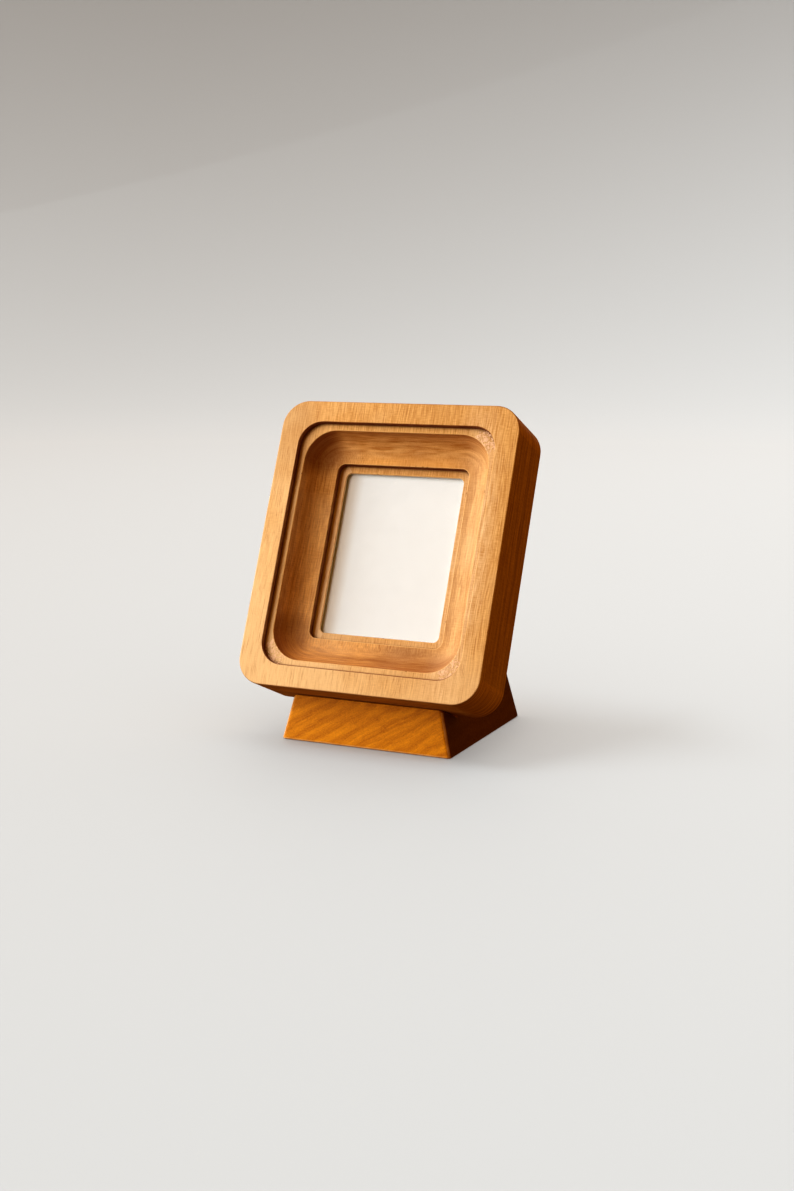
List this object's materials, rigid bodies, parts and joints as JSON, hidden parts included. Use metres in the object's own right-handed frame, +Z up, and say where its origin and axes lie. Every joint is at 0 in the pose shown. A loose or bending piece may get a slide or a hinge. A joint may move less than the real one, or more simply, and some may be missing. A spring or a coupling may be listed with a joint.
{
  "type": "picture frame",
  "caption": "Small wooden desk picture frame: a milled board with a stepped, coved window leans back in a notched, tapered block; turn buttons behind hold glazing, a blank print and a backing.",
  "frame": {"origin": "centre of the block's underside", "axes": "+Z up, -Y the way the picture faces, +X to the right as seen from the front"},
  "size_m": [0.102, 0.0873, 0.1319],
  "materials": {
    "frame_wood": "oiled honey-coloured hardwood, straight grain up the face",
    "block_wood": "oiled amber hardwood, slanting grain",
    "dowel_wood": "plain beech, unfinished",
    "clear_acrylic": "clear polished sheet",
    "print_paper": "matt warm white card",
    "hardboard": "pressed brown hardboard",
    "brass": "stamped and turned brass, lightly worn"
  },
  "bodies": {
    "frame": {"frame_body": "frame_wood", "stand_block": "block_wood", "glazing_pane": "clear_acrylic", "picture_print": "print_paper", "backing_board": "hardboard", "dowel_left": "dowel_wood", "dowel_right": "dowel_wood", "button_screw_upper_left": "brass", "button_screw_upper_right": "brass", "button_screw_lower_left": "brass", "button_screw_lower_right": "brass"},
    "button_upper_left": {"turn_button_upper_left": "brass"},
    "button_upper_right": {"turn_button_upper_right": "brass"},
    "button_lower_left": {"turn_button_lower_left": "brass"},
    "button_lower_right": {"turn_button_lower_right": "brass"}
  },
  "joints": [
    {"name": "turn_upper_left", "type": "hinge", "parent": "frame", "child": "button_upper_left", "pos_m": [-0.03335, 0.0011, 0.08813], "axis": [0, -0.9219, 0.3875], "range_deg": [-90, 90]},
    {"name": "turn_upper_right", "type": "hinge", "parent": "frame", "child": "button_upper_right", "pos_m": [0.03335, 0.0011, 0.08813], "axis": [0, -0.9219, 0.3875], "range_deg": [-90, 90]},
    {"name": "turn_lower_left", "type": "hinge", "parent": "frame", "child": "button_lower_left", "pos_m": [-0.03335, -0.0144, 0.05126], "axis": [0, -0.9219, 0.3875], "range_deg": [-90, 90]},
    {"name": "turn_lower_right", "type": "hinge", "parent": "frame", "child": "button_lower_right", "pos_m": [0.03335, -0.0144, 0.05126], "axis": [0, -0.9219, 0.3875], "range_deg": [-90, 90]}
  ]
}
